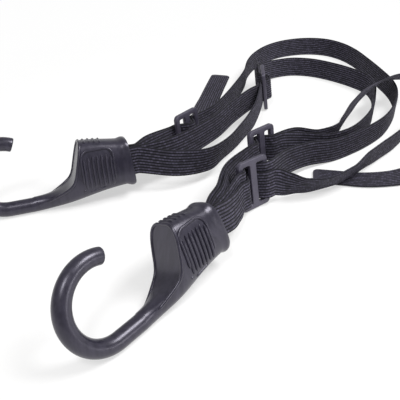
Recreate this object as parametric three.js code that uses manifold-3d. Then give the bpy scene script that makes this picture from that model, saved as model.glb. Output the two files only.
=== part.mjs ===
// Adjustable flat-elastic bungee cord: two moulded hooks joined by two elastic straps.
// Each strap loops round a pin in each hook and doubles back through a three-bar slider.
// Millimetres, +Z up. The cord lies on a table at z = 0, as it was put down.
import * as THREE from "three";
import { mergeVertices } from "three/addons/utils/BufferGeometryUtils.js";
import Module from "manifold-3d";

const wasm = await Module();
wasm.setup();

// Straps
const STRAP_WIDTH = 16;
const STRAP_THICKNESS = 1.4;
const FIT_GAP = 0.3;
const STRAP_LEAD = 2.8;
const RIBBON_STEP = 6;

// Hook: a round rod bent into a ring, running into a hollow grip body
const ROD_DIAMETER = 8;
const TIP_DIAMETER = 7.4;
const RING_RADIUS = 18.3;
const TIP_ANGLE = 66;
const TIP_CHAMFER = 0.9;
const SHANK_START = 12;
const SHANK_FLAT_LENGTH = 15;
const SHANK_FLAT_RISE = 0.3;
const PULL_LINE_DROP = 2;
const MOUTH_DISTANCE = 68.5;
const MOUTH_SLANT = 2.6;
const LIP_WALL = 4.2;
const SIDE_WALL = 1.9;
const FACE_RISE = 13.3;
const FACE_DISTANCE = 41.4;
const FACE_FOOT_DISTANCE = 36.5;
const FACE_FOOT_RISE = -4.4;
const FACE_CURL_BACK = 2.2;
const FACE_CURL_DROP = 7.4;
const SWELL_START = 14;
const SWELL_END = 37;
const COLLAR_LENGTH = 5.5;
const COLLAR_STEP = 0.8;
const ROD_SQUARENESS = 2;
const BODY_SQUARENESS = 3.2;
const SOCKET_DEPTH = 24;
const SOCKET_SIDE_CLEARANCE = 0.6;

// Strap pins in the hook
const PIN_DIAMETER = 3;
const PIN_SPACING = 7;
const PIN_SEAT_DEPTH = 2.6;
const PIN_INSET = 1.2;
const MOUTH_LAYER_PITCH = 2.2;

// Moulded grip on the body's sides and top
const GRIP_RIB_COUNT = 7;
const GRIP_RIB_PITCH = 2.45;
const GRIP_RIB_RADIUS = 0.8;
const GRIP_RIB_PROUD = 0.5;
const GRIP_CENTRE_DISTANCE = 49.4;
const GRIP_TOP_RISE = 9.3;
const GRIP_BOTTOM_DROP = 12;
const GRIP_ARCH_HALF_WIDTH = 8.8;
const GRIP_ARCH_CORNER = 4.5;
const GRIP_ARCH_FOOT_DROP = 8.4;
const GRIP_ARCH_RADIUS = 0.7;
const GRIP_RIB_INSET = 3.4;
const TOP_RIB_COUNT = 4;
const TOP_RIB_PITCH = 2.8;
const TOP_RIB_START = 44;
const TOP_RIB_LENGTH = 9;

// Three-bar slider
const SLIDER_RAIL = 3;
const SLIDER_THICKNESS = 2.6;
const SLIDER_BAR_PITCH = 9;
const SLIDER_CENTRE_BAR = 4.6;
const SLIDER_END_BAR = 3.2;
const SLIDER_SLOT_PLAY = 7;
const SLIDER_CORNER = 3.6;
const SLIDER_EDGE = 0.45;
const SLOT_CORNER = 0.9;
const BAR_WRAP_SHARE = 0.82;

// Facets
const ROD_SIDES = 16;
const RING_STEPS = 15;
const BODY_STEPS = 10;
const PIN_SIDES = 12;
const RIB_SIDES = 5;
const RIB_STEPS = 3;
const ARCH_STEPS = 4;
const BEND_STEPS = 4;

// Where the pieces lie: place on the table, heading of the pull line and lean, in degrees
const HOOK_A_PLACE = { x: -48.89, y: 39.08, heading: 19.6, lean: 12.8, gather: 0 };
const HOOK_B_PLACE = { x: 17.24, y: -52.24, heading: 51.1, lean: 25, gather: 1 };
const SLIDER_1_PLACE = { x: 48.3, y: 104.5, heading: 52, lean: 8, overSide: -1 };
const SLIDER_2_PLACE = { x: 104.4, y: 180, heading: 88, lean: 8, overSide: -1 };
const SLIDER_3_PLACE = { x: 93.4, y: 82, heading: 42, lean: 10, overSide: 1 };
const SLIDER_4_PLACE = { x: 85.3, y: 44.5, heading: 39, lean: 12, overSide: 1 };

// Free stretches of strap, listed away from hook A, or from hook B on its side.
// Each point is x, y, z and the lean of the strap's width to the left of the way it runs.
const OUTER_TAIL_A_POINTS = [
  [55.9, 126.5, 12.5, 22],
  [56.9, 142.5, 8, 52],
  [58.9, 162.5, 3.6, 78],
  [63.9, 192.5, 1.1, 90],
  [68.9, 216.5, 1.1, 90],
  [73.9, 239.5, 1.1, 90],
];
const OUTER_PAIR_A_TAIL_POINTS = [[24.9, 77.5, 18.5, 12]];
const OUTER_PAIR_A_MAIN_POINTS = [[27.4, 75.5, 18.5, 12]];
const INNER_PAIR_A_TAIL_POINTS = [
  [40.9, 76.5, 18.6, 12],
  [64.9, 106.5, 17.5, 8],
  [78.9, 133.5, 16.6, 6],
  [91.9, 156.5, 15.4, 6],
];
const INNER_PAIR_A_MAIN_POINTS = [
  [42.9, 62.5, 17, 8],
  [60.9, 70.5, 15, -4],
  [71.9, 87.5, 13.5, -12],
  [82.9, 109.5, 13, -6],
  [93.9, 136.5, 13.4, 2],
];
const INNER_TAIL_A_POINTS = [
  [100.4, 207.5, 15, 8],
  [103.4, 217.5, 14.5, 8],
];
const OUTER_MAIN_POINTS = [
  [65.9, 134.5, 13, 6],
  [80.9, 176.5, 10, 2],
  [91.9, 213.5, 8.4, 0],
  [95.9, 234.5, 8.4, 0],
  [102.9, 253.5, 8.4, 0],
  [115.9, 273.5, 8.4, 0],
  [132.9, 287.5, 8.4, 0],
  [154.9, 294.5, 8.4, 0],
  [172.9, 291.5, 8.4, 0],
  [184.9, 280.5, 8.4, 0],
  [192.9, 263.5, 8.4, 0],
  [198.9, 236.5, 8.4, 0],
  [202.9, 212.5, 8.4, 0],
  [204.9, 194.5, 8.4, 0],
  [203.9, 177.5, 8.4, 0],
  [198.9, 159.5, 8.4, 0],
  [191.9, 144.5, 8.4, 0],
  [181.9, 128.5, 8.4, 0],
  [170.9, 116.5, 8.4, 0],
  [156.9, 104.5, 8.4, 0],
  [140.9, 94, 8.4, -2],
  [122.9, 84.5, 10.8, -5],
  [107.9, 71, 13.4, -9],
];
const INNER_MAIN_POINTS = [
  [103.9, 209.5, 13.4, 8],
  [110.9, 224.5, 10.6, 4],
  [120.9, 235.5, 8.8, 0],
  [134.9, 241, 8.4, 0],
  [150.9, 238.5, 8.4, 0],
  [166.9, 228.5, 8.4, 0],
  [180.9, 214.5, 8.4, 0],
  [188.9, 201.5, 8.4, 0],
  [189.9, 186.5, 8.4, 0],
  [185.9, 169.5, 8.4, 0],
  [177.9, 145.5, 8.4, 0],
  [166.9, 125.5, 8.4, 0],
  [153.9, 110, 8.4, 0],
  [138.9, 101, 8.6, -2],
  [119.9, 97.5, 10.6, -6],
];
const INNER_TAIL_B_POINTS = [
  [116.9, 100.9, 12.4, 6],
  [131.9, 102.5, 10.6, 0],
  [144.9, 110.5, 13, -15],
  [156.9, 130.5, 18, -32],
  [168.9, 148.5, 21.4, -42],
  [180.9, 162.5, 23.2, -50],
  [196.9, 176.5, 23.4, -52],
  [208.9, 183.5, 22, -55],
  [220.9, 188.5, 19, -60],
];
const INNER_PAIR_B_TAIL_POINTS = [
  [63.3, 15.1, 18.2, 23],
  [67.3, 26.1, 18, 20],
  [69.1, 40.5, 16.5, 14],
  [72.9, 53.5, 15.4, 11],
];
const INNER_PAIR_B_MAIN_POINTS = [
  [65.7, 14.1, 18.2, 23],
  [69.9, 25.3, 18, 20],
  [71.7, 39.3, 16.5, 14],
  [75.5, 51.1, 15.4, 11],
];
const OUTER_PAIR_B_MAIN_POINTS = [
  [68.3, 12.9, 17.8, 23],
  [72.9, 24.9, 17, 16],
];
const OUTER_PAIR_B_TAIL_POINTS = [
  [70.9, 11.9, 17, 23],
  [75.7, 23.1, 14.6, 16],
];
const OUTER_TAIL_B_POINTS = [
  [103.9, 50.3, 10.6, -4],
  [114.9, 52.1, 8.2, -28],
  [127.9, 56.2, 7.4, -34],
  [142.9, 64.3, 8.8, -27],
  [155.9, 77.1, 10.2, -16],
  [169.9, 92.5, 8.9, -12],
  [184.9, 108.5, 8.6, -10],
  [195.9, 123.5, 8.6, -8],
  [202.9, 135.5, 8.6, -4],
  [211.9, 142.5, 8.6, 0],
  [220.9, 140.5, 8.6, 0],
  [224.9, 129.5, 8.6, 0],
  [221.9, 114.5, 8.8, -6],
  [212.9, 99.5, 8, -34],
  [201.9, 87.5, 5, -66],
  [189.9, 78.5, 1.7, -88],
  [176.9, 73, 1.1, -90],
  [164.9, 70.5, 1.1, -90],
  [152.9, 70, 1.1, -90],
  [140.9, 72, 1.1, -90],
  [124.9, 74.5, 1.1, -90],
];

// Sizes that follow from the ones above
const rodRadius = ROD_DIAMETER / 2;
const loopRadius = PIN_DIAMETER / 2 + FIT_GAP + STRAP_THICKNESS / 2;
const socketHalfWidth = PIN_SPACING / 2 + loopRadius + STRAP_THICKNESS / 2 + FIT_GAP;
const socketHalfHeight = STRAP_WIDTH / 2 + SOCKET_SIDE_CLEARANCE;
const bodyHalfWidth = socketHalfWidth + SIDE_WALL;
const mouthTop = socketHalfHeight + LIP_WALL - PULL_LINE_DROP;
const mouthBottom = -socketHalfHeight - LIP_WALL - PULL_LINE_DROP;
const ringBottom = -RING_RADIUS - rodRadius;
const socketFloor = MOUTH_DISTANCE - SOCKET_DEPTH;
const pinDistance = socketFloor + loopRadius + STRAP_THICKNESS / 2 + FIT_GAP;
const slotLength = STRAP_WIDTH + SLIDER_SLOT_PLAY;
const sliderHeight = slotLength + 2 * SLIDER_RAIL;
const layerPitch = STRAP_THICKNESS + FIT_GAP;

const radians = THREE.MathUtils.degToRad;
const smoothstep = THREE.MathUtils.smoothstep;
const lerp = THREE.MathUtils.lerp;
const point = (x, y, z) => new THREE.Vector3(x, y, z);

const moulding = new THREE.MeshStandardMaterial({ color: 0x2d2b33, roughness: 0.42, metalness: 0 });
const elastic = new THREE.MeshStandardMaterial({ color: 0x26252b, roughness: 0.9, metalness: 0 });
const pinSteel = new THREE.MeshStandardMaterial({ color: 0x8d8f94, roughness: 0.35, metalness: 1 });

// A closed solid through rings of equal point counts, with both ends capped.
function loft(rings) {
  const count = rings[0].length;
  const positions = [];
  const triangles = [];
  for (const ring of rings) {
    for (const p of ring) {
      positions.push(p.x, p.y, p.z);
    }
  }
  for (let r = 0; r + 1 < rings.length; r++) {
    for (let i = 0; i < count; i++) {
      const next = (i + 1) % count;
      const a = r * count + i;
      const b = r * count + next;
      triangles.push(a, b + count, b, a, a + count, b + count);
    }
  }
  const lastRing = (rings.length - 1) * count;
  for (let i = 1; i + 1 < count; i++) {
    triangles.push(0, i, i + 1);
    triangles.push(lastRing, lastRing + i + 1, lastRing + i);
  }
  const geometry = new THREE.BufferGeometry();
  geometry.setAttribute("position", new THREE.Float32BufferAttribute(positions, 3));
  geometry.setIndex(triangles);
  return geometry;
}

function toSolid(geometry) {
  const plain = geometry.clone();
  plain.deleteAttribute("normal");
  plain.deleteAttribute("uv");
  const merged = mergeVertices(plain, 1e-4);
  const mesh = new wasm.Mesh({
    numProp: 3,
    vertProperties: new Float32Array(merged.attributes.position.array),
    triVerts: new Uint32Array(merged.index.array),
  });
  return new wasm.Manifold(mesh);
}

function toGeometry(solid) {
  const mesh = solid.getMesh();
  const geometry = new THREE.BufferGeometry();
  geometry.setAttribute("position", new THREE.Float32BufferAttribute(mesh.vertProperties, 3));
  geometry.setIndex([...mesh.triVerts]);
  geometry.computeVertexNormals();
  return geometry;
}

function named(name, geometry, material) {
  const mesh = new THREE.Mesh(geometry, material.clone());
  mesh.name = name;
  return mesh;
}

// A frame whose X runs along the pull line, Y to the far side and Z across the strap.
function leaningFrame(place, height) {
  const frame = new THREE.Group();
  frame.position.set(place.x, place.y, height);
  frame.rotation.order = "ZXY";
  frame.rotation.set(-radians(place.lean), 0, radians(place.heading));
  frame.updateMatrixWorld(true);
  return frame;
}

// Hook body outline, as functions of the distance u along the pull line from the ring's centre
function undersideAt(u) {
  return lerp(ringBottom, mouthBottom, smoothstep(u, SHANK_START, MOUTH_DISTANCE));
}

function crownAt(u) {
  const rise = smoothstep(u, SHANK_START, FACE_FOOT_DISTANCE);
  const fall = smoothstep(u, FACE_DISTANCE, MOUTH_DISTANCE);
  return lerp(rodRadius - RING_RADIUS, lerp(FACE_RISE, mouthTop, fall), rise);
}

function swellAt(u) {
  return smoothstep(u, SWELL_START, SWELL_END);
}

function halfWidthAt(u) {
  return lerp(rodRadius, bodyHalfWidth, swellAt(u));
}

function squarenessAt(u) {
  return lerp(ROD_SQUARENESS, BODY_SQUARENESS, swellAt(u));
}

// The mouth's edge slopes: its lower lip stands further out than its upper one.
function slantAt(u) {
  return MOUTH_SLANT * smoothstep(u, GRIP_CENTRE_DISTANCE, MOUTH_DISTANCE);
}

// One superellipse ring of the body, proud of the outline by the given step.
function bodyRing(u, proud) {
  const bottom = undersideAt(u) - proud;
  const top = crownAt(u) + proud;
  const halfWidth = halfWidthAt(u) + proud;
  const power = 2 / squarenessAt(u);
  const ring = [];
  for (let i = 0; i < ROD_SIDES; i++) {
    const turn = (2 * Math.PI * i) / ROD_SIDES;
    const out = Math.sign(Math.cos(turn)) * Math.abs(Math.cos(turn)) ** power;
    const up = Math.sign(Math.sin(turn)) * Math.abs(Math.sin(turn)) ** power;
    const x = u - (up * slantAt(u)) / 2;
    ring.push(point(x, -out * halfWidth, (top + bottom) / 2 + (up * (top - bottom)) / 2));
  }
  return ring;
}

// One round ring of the rod where the ring stands at the given angle.
function rodRing(angle, radius) {
  const ring = [];
  const away = point(Math.cos(angle), 0, Math.sin(angle));
  for (let i = 0; i < ROD_SIDES; i++) {
    const turn = (2 * Math.PI * i) / ROD_SIDES;
    const p = away.clone().multiplyScalar(RING_RADIUS - Math.sin(turn) * radius);
    p.y = -Math.cos(turn) * radius;
    ring.push(p);
  }
  return ring;
}

function hookBlank() {
  const rings = [];
  const tip = radians(TIP_ANGLE);
  const foot = radians(270);
  const chamferTurn = TIP_CHAMFER / RING_RADIUS;
  rings.push(rodRing(tip, TIP_DIAMETER / 2 - TIP_CHAMFER));
  for (let i = 0; i <= RING_STEPS; i++) {
    const share = i / RING_STEPS;
    const angle = lerp(tip + chamferTurn, foot, share);
    rings.push(rodRing(angle, lerp(TIP_DIAMETER, ROD_DIAMETER, Math.min(1, share * 2)) / 2));
  }
  const collarStart = MOUTH_DISTANCE - COLLAR_LENGTH;
  for (let i = 0; i <= BODY_STEPS; i++) {
    rings.push(bodyRing(lerp(ROD_DIAMETER, collarStart, i / BODY_STEPS), 0));
  }
  rings.push(bodyRing(collarStart + COLLAR_STEP, COLLAR_STEP));
  rings.push(bodyRing(MOUTH_DISTANCE - COLLAR_STEP, COLLAR_STEP));
  rings.push(bodyRing(MOUTH_DISTANCE, 0));
  return toSolid(loft(rings));
}

// A flat outline in the hook's own plane, extruded right across the body.
function acrossBody(shape) {
  const depth = 4 * bodyHalfWidth;
  const geometry = new THREE.ExtrudeGeometry(shape, { depth, bevelEnabled: false, curveSegments: 8 });
  geometry.rotateX(Math.PI / 2);
  geometry.translate(0, depth / 2, 0);
  return toSolid(geometry);
}

// What is cut away in front of the thumb face, down to the shank's inner edge.
function thumbFaceCut() {
  const rodTop = rodRadius - RING_RADIUS + FIT_GAP;
  const slope = (FACE_DISTANCE - FACE_FOOT_DISTANCE) / (FACE_RISE - FACE_FOOT_RISE);
  const clearRise = FACE_RISE + ROD_DIAMETER;
  const shape = new THREE.Shape();
  shape.moveTo(SHANK_START, rodTop);
  shape.bezierCurveTo(
    SHANK_START + SHANK_FLAT_LENGTH,
    rodTop + SHANK_FLAT_RISE,
    FACE_FOOT_DISTANCE - FACE_CURL_BACK,
    FACE_FOOT_RISE - FACE_CURL_DROP,
    FACE_FOOT_DISTANCE,
    FACE_FOOT_RISE,
  );
  shape.lineTo(FACE_FOOT_DISTANCE + slope * (clearRise - FACE_FOOT_RISE), clearRise);
  shape.lineTo(SHANK_START, clearRise);
  shape.closePath();
  return acrossBody(shape);
}

function boxSolid(low, high) {
  const size = high.clone().sub(low);
  const middle = high.clone().add(low).multiplyScalar(0.5);
  const geometry = new THREE.BoxGeometry(size.x, size.y, size.z);
  geometry.translate(middle.x, middle.y, middle.z);
  return toSolid(geometry);
}

function uprightRod(radius, sides, x, y, bottom, top) {
  const geometry = new THREE.CylinderGeometry(radius, radius, top - bottom, sides);
  geometry.rotateX(Math.PI / 2);
  geometry.translate(x, y, (top + bottom) / 2);
  return geometry;
}

function pinBottom() {
  return undersideAt(pinDistance) + PIN_INSET;
}

function pinTop() {
  return socketHalfHeight - PULL_LINE_DROP + PIN_SEAT_DEPTH;
}

function socketAndBores() {
  const past = MOUTH_DISTANCE + COLLAR_LENGTH;
  const low = point(socketFloor, -socketHalfWidth, -socketHalfHeight - PULL_LINE_DROP);
  const high = point(past, socketHalfWidth, socketHalfHeight - PULL_LINE_DROP);
  let cut = boxSolid(low, high);
  const below = ringBottom - rodRadius;
  for (const side of [-1, 1]) {
    const y = (side * PIN_SPACING) / 2;
    const radius = PIN_DIAMETER / 2 + FIT_GAP;
    cut = cut.add(toSolid(uprightRod(radius, PIN_SIDES, pinDistance, y, below, pinTop() + FIT_GAP)));
  }
  return cut;
}

// A round bead that follows points on the body's side.
function bead(points, radius) {
  const rings = [];
  points.forEach((p, i) => {
    const before = points[Math.max(i - 1, 0)];
    const after = points[Math.min(i + 1, points.length - 1)];
    const along = after.clone().sub(before).normalize();
    const out = point(0, 1, 0);
    const across = along.clone().cross(out);
    const ring = [];
    for (let k = 0; k < RIB_SIDES; k++) {
      const turn = (2 * Math.PI * k) / RIB_SIDES;
      const corner = p.clone().addScaledVector(out, Math.sin(turn) * radius);
      ring.push(corner.addScaledVector(across, Math.cos(turn) * radius));
    }
    rings.push(ring);
  });
  return toSolid(loft(rings));
}

// How far out the body's side stands at a place along the pull line and a height.
function sideAt(u, rise) {
  const middle = (crownAt(u) + undersideAt(u)) / 2;
  const up = Math.abs(rise - middle) / (crownAt(u) - middle);
  return halfWidthAt(u) * (1 - up ** squarenessAt(u)) ** (1 / squarenessAt(u));
}

function gripOnSide(side) {
  const onSide = (u, rise, radius) => point(u, side * (sideAt(u, rise) + GRIP_RIB_PROUD - radius), rise);
  const springing = GRIP_TOP_RISE - GRIP_ARCH_CORNER;
  const flatHalf = GRIP_ARCH_HALF_WIDTH - GRIP_ARCH_CORNER;
  const archStart = GRIP_CENTRE_DISTANCE - GRIP_ARCH_HALF_WIDTH;
  const archEnd = GRIP_CENTRE_DISTANCE + GRIP_ARCH_HALF_WIDTH;
  const arch = [onSide(archStart, -GRIP_ARCH_FOOT_DROP, GRIP_ARCH_RADIUS)];
  for (const end of [-1, 1]) {
    for (let i = 0; i <= ARCH_STEPS; i++) {
      const turn = (Math.PI / 2) * (end < 0 ? i / ARCH_STEPS : 1 - i / ARCH_STEPS);
      const u = GRIP_CENTRE_DISTANCE + end * (flatHalf + Math.cos(turn) * GRIP_ARCH_CORNER);
      arch.push(onSide(u, springing + Math.sin(turn) * GRIP_ARCH_CORNER, GRIP_ARCH_RADIUS));
    }
  }
  arch.push(onSide(archEnd, -GRIP_ARCH_FOOT_DROP, GRIP_ARCH_RADIUS));
  let grip = bead(arch, GRIP_ARCH_RADIUS);
  for (let i = 0; i < GRIP_RIB_COUNT; i++) {
    const off = (i - (GRIP_RIB_COUNT - 1) / 2) * GRIP_RIB_PITCH;
    const past = Math.max(Math.abs(off) - flatHalf, 0);
    const top = springing + Math.sqrt(GRIP_ARCH_CORNER ** 2 - past ** 2) - GRIP_RIB_INSET;
    const rib = [];
    for (let k = 0; k <= RIB_STEPS; k++) {
      const rise = lerp(-GRIP_BOTTOM_DROP, top, k / RIB_STEPS);
      rib.push(onSide(GRIP_CENTRE_DISTANCE + off, rise, GRIP_RIB_RADIUS));
    }
    grip = grip.add(bead(rib, GRIP_RIB_RADIUS));
  }
  return grip;
}

function topRibs() {
  let ribs = null;
  const radius = GRIP_RIB_RADIUS;
  for (let i = 0; i < TOP_RIB_COUNT; i++) {
    const u = TOP_RIB_START + i * TOP_RIB_PITCH;
    const geometry = new THREE.CylinderGeometry(radius, radius, TOP_RIB_LENGTH, RIB_SIDES);
    geometry.translate(u, 0, crownAt(u) + GRIP_RIB_PROUD - radius);
    const rib = toSolid(geometry);
    ribs = ribs ? ribs.add(rib) : rib;
  }
  return ribs;
}

function hookGeometry() {
  let hook = hookBlank().subtract(thumbFaceCut());
  hook = hook.add(gripOnSide(-1)).add(gripOnSide(1)).add(topRibs());
  return toGeometry(hook.subtract(socketAndBores()));
}

// Slider: a rounded plate with two slots, standing on its lower rail.
function sliderGeometry() {
  const halfLength = SLIDER_BAR_PITCH + SLIDER_END_BAR / 2;
  const halfHeight = sliderHeight / 2;
  const shape = new THREE.Shape();
  roundedRectangle(shape, -halfLength, -halfHeight, halfLength, halfHeight, SLIDER_CORNER);
  const slotInner = SLIDER_CENTRE_BAR / 2;
  const slotOuter = SLIDER_BAR_PITCH - SLIDER_END_BAR / 2;
  for (const [left, right] of [[slotInner, slotOuter], [-slotOuter, -slotInner]]) {
    const slot = new THREE.Path();
    shape.holes.push(roundedRectangle(slot, left, -slotLength / 2, right, slotLength / 2, SLOT_CORNER));
  }
  const geometry = new THREE.ExtrudeGeometry(shape, {
    depth: SLIDER_THICKNESS - 2 * SLIDER_EDGE,
    bevelThickness: SLIDER_EDGE,
    bevelSize: SLIDER_EDGE,
    bevelOffset: -SLIDER_EDGE,
    bevelSegments: 1,
    curveSegments: 3,
  });
  geometry.translate(0, 0, SLIDER_EDGE - SLIDER_THICKNESS / 2);
  geometry.rotateX(Math.PI / 2);
  return toGeometry(toSolid(geometry));
}

function roundedRectangle(path, left, bottom, right, top, corner) {
  path.moveTo(left + corner, bottom);
  path.lineTo(right - corner, bottom);
  path.absarc(right - corner, bottom + corner, corner, -Math.PI / 2, 0);
  path.lineTo(right, top - corner);
  path.absarc(right - corner, top - corner, corner, 0, Math.PI / 2);
  path.lineTo(left + corner, top);
  path.absarc(left + corner, top - corner, corner, Math.PI / 2, Math.PI);
  path.lineTo(left, bottom + corner);
  path.absarc(left + corner, bottom + corner, corner, Math.PI, Math.PI * 1.5);
  return path;
}

// A strap is a list of stations, each with its middle and the direction of its width.
function inFrame(frame, x, y, z) {
  const across = point(0, 0, 1).transformDirection(frame.matrixWorld);
  return { middle: point(x, y, z).applyMatrix4(frame.matrixWorld), across };
}

// The way through a slider, from the hook's side: past the end bars, round the centre bar.
// layer is +1 for the layer on the far side and -1 for the near one.
function weave(slider, layer) {
  const { frame, place, shift } = slider;
  const side = place.overSide;
  const off = (layer * side * layerPitch) / 2;
  const barHalf = SLIDER_THICKNESS / 2;
  const endRound = barHalf + BAR_WRAP_SHARE * Math.max(SLIDER_END_BAR / 2 - barHalf, 0);
  const centreRound = barHalf + BAR_WRAP_SHARE * Math.max(SLIDER_CENTRE_BAR / 2 - barHalf, 0);
  const endRadius = endRound + FIT_GAP + STRAP_THICKNESS + FIT_GAP / 2;
  const centreRadius = centreRound + FIT_GAP + STRAP_THICKNESS + FIT_GAP / 2;
  const tilt = Math.asin((endRadius + centreRadius) / SLIDER_BAR_PITCH);
  const stations = [];
  const arc = (middle, radius, from, to) => {
    for (let i = 0; i <= BEND_STEPS; i++) {
      const turn = lerp(from, to, i / BEND_STEPS);
      const x = middle + Math.cos(turn) * radius;
      stations.push(inFrame(frame, x, side * Math.sin(turn) * radius, shift[layer]));
    }
  };
  const quarter = Math.PI / 2;
  arc(-SLIDER_BAR_PITCH, endRadius - off, -quarter, -quarter + tilt);
  arc(0, centreRadius + off, quarter + tilt, quarter - tilt);
  arc(SLIDER_BAR_PITCH, endRadius - off, -quarter - tilt, -quarter);
  return stations;
}

// The loop round a pin: in through the mouth on one side, out again on the other.
// The four layers gather towards one another as they near the mouth.
function pinLoop(hook, pinSide, startSide) {
  const y = (pinSide * PIN_SPACING) / 2;
  const stations = [];
  const place = (x, across) => stations.push(inFrame(hook.frame, x, across, -PULL_LINE_DROP));
  const mouthPlace = (side) => hook.gather + (pinSide + side / 2) * MOUTH_LAYER_PITCH;
  const outside = MOUTH_DISTANCE + MOUTH_SLANT / 2;
  place(outside, mouthPlace(startSide));
  const bends = BEND_STEPS * 2;
  for (let i = 0; i <= bends; i++) {
    const turn = Math.PI / 2 + (Math.PI * i) / bends;
    place(pinDistance + Math.cos(turn) * loopRadius, y + startSide * Math.sin(turn) * loopRadius);
  }
  place(outside, mouthPlace(-startSide));
  return stations;
}

// A free stretch from one station to another, through hand-chosen points.
function freeStretch(from, fromAlong, points, to, toAlong) {
  const middles = [from.middle, from.middle.clone().addScaledVector(fromAlong, STRAP_LEAD)];
  const leans = [null, null];
  for (const [x, y, z, lean] of points) {
    middles.push(point(x, y, z));
    leans.push(radians(lean));
  }
  if (to) {
    middles.push(to.middle.clone().addScaledVector(toAlong, -STRAP_LEAD), to.middle);
    leans.push(null, null);
  }
  const curve = new THREE.CatmullRomCurve3(middles, false, "centripetal");
  const last = middles.length - 1;
  const acrossAt = middles.map((_, i) => {
    if (leans[i] === null) {
      return (i < 2 ? from : to).across.clone();
    }
    const along = curve.getTangent(i / last).setZ(0).normalize();
    const left = point(-along.y, along.x, 0);
    return point(0, 0, Math.cos(leans[i])).addScaledVector(left, Math.sin(leans[i]));
  });
  const stations = [];
  for (let i = 0; i < last; i++) {
    const steps = Math.max(1, Math.round(middles[i].distanceTo(middles[i + 1]) / RIBBON_STEP));
    for (let k = 0; k < steps; k++) {
      const share = k / steps;
      const across = acrossAt[i].clone().lerp(acrossAt[i + 1], smoothstep(share, 0, 1)).normalize();
      stations.push({ middle: curve.getPoint((i + share) / last), across });
    }
  }
  stations.push({ middle: middles[last].clone(), across: acrossAt[last] });
  return stations;
}

function alongEnd(stations) {
  const count = stations.length;
  return stations[count - 1].middle.clone().sub(stations[count - 2].middle).normalize();
}

function alongStart(stations) {
  return stations[1].middle.clone().sub(stations[0].middle).normalize();
}

// Joins stretches end to end, leaving out stations that repeat.
function chain(...stretches) {
  const joined = [];
  for (const station of stretches.flat()) {
    const last = joined[joined.length - 1];
    if (!last || last.middle.distanceTo(station.middle) > FIT_GAP) {
      joined.push(station);
    }
  }
  return joined;
}

// The flat strap itself. Its ends draw in by the given lengths, to clear what they meet.
function ribbon(stations, trimStart, trimEnd) {
  const middles = stations.map((s) => s.middle.clone());
  const last = middles.length - 1;
  middles[0].addScaledVector(alongStart(stations), trimStart);
  middles[last].addScaledVector(alongEnd(stations), -trimEnd);
  const rings = stations.map((station, i) => {
    const before = middles[Math.max(i - 1, 0)];
    const after = middles[Math.min(i + 1, last)];
    const along = after.clone().sub(before).normalize();
    const across = station.across.clone().addScaledVector(along, -station.across.dot(along)).normalize();
    const face = along.clone().cross(across);
    const corner = (a, f) =>
      middles[i]
        .clone()
        .addScaledVector(across, (a * STRAP_WIDTH) / 2)
        .addScaledVector(face, (f * STRAP_THICKNESS) / 2);
    return [corner(-1, -1), corner(-1, 1), corner(1, 1), corner(1, -1)];
  });
  return loft(rings);
}

// Pieces in their places
function makeHook(place) {
  const height = rodRadius + RING_RADIUS * Math.cos(radians(place.lean));
  return { frame: leaningFrame(place, height), gather: place.gather };
}

function makeSlider(place, shift) {
  const lean = radians(place.lean);
  const height = (sliderHeight / 2) * Math.cos(lean) + (SLIDER_THICKNESS / 2) * Math.sin(lean) + FIT_GAP;
  return { frame: leaningFrame(place, height), place, shift };
}

const hookA = makeHook(HOOK_A_PLACE);
const hookB = makeHook(HOOK_B_PLACE);
const level = { "-1": 0, 1: 0 };
const slider1 = makeSlider(SLIDER_1_PLACE, level);
const slider2 = makeSlider(SLIDER_2_PLACE, level);
const slider3 = makeSlider(SLIDER_3_PLACE, level);
const spread = SLIDER_SLOT_PLAY / 2 - SLOT_CORNER;
const slider4 = makeSlider(SLIDER_4_PLACE, { "-1": -spread, 1: spread });

const part = new THREE.Group();
for (const [letter, hook] of [["a", hookA], ["b", hookB]]) {
  hook.frame.add(named(`hook_${letter}`, hookGeometry(), moulding));
  for (const [side, word] of [[1, "far"], [-1, "near"]]) {
    const y = (side * PIN_SPACING) / 2;
    const pin = uprightRod(PIN_DIAMETER / 2, PIN_SIDES, pinDistance, y, pinBottom(), pinTop());
    hook.frame.add(named(`strap_pin_${letter}_${word}`, pin, pinSteel));
  }
  part.add(hook.frame);
}
[slider1, slider2, slider3, slider4].forEach((slider, i) => {
  slider.frame.add(named(`slider_${i + 1}`, sliderGeometry(), moulding));
  part.add(slider.frame);
});

// One end of a strap at a hook: tail layer in, loop round the pin, main layer out.
function strapEnd(hook, slider, pinSide, tailLayer, tailPoints, mainPoints) {
  const tailWeave = weave(slider, tailLayer);
  const mainWeave = weave(slider, -tailLayer);
  const loop = pinLoop(hook, pinSide, tailLayer);
  const loopBack = [...loop].reverse();
  const outTail = alongStart(loop).negate();
  const outMain = alongEnd(loop);
  const tailRun = freeStretch(loop[0], outTail, tailPoints, tailWeave[0], alongStart(tailWeave));
  const mainRun = freeStretch(loopBack[0], outMain, mainPoints, mainWeave[0], alongStart(mainWeave));
  const intoHook = [...tailRun, ...tailWeave].reverse();
  return { tailWeave, mainWeave, stations: chain(intoHook, loop, mainRun, mainWeave) };
}

const outerA = strapEnd(hookA, slider1, 1, 1, OUTER_PAIR_A_TAIL_POINTS, OUTER_PAIR_A_MAIN_POINTS);
const innerA = strapEnd(hookA, slider2, -1, 1, INNER_PAIR_A_TAIL_POINTS, INNER_PAIR_A_MAIN_POINTS);

const outerB = strapEnd(hookB, slider4, -1, -1, OUTER_PAIR_B_TAIL_POINTS, OUTER_PAIR_B_MAIN_POINTS);
const innerB = strapEnd(hookB, slider3, 1, 1, INNER_PAIR_B_TAIL_POINTS, INNER_PAIR_B_MAIN_POINTS);

function tailStretch(end, points) {
  const exit = end.tailWeave;
  return freeStretch(exit[exit.length - 1], alongEnd(exit), points, null, null);
}

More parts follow.
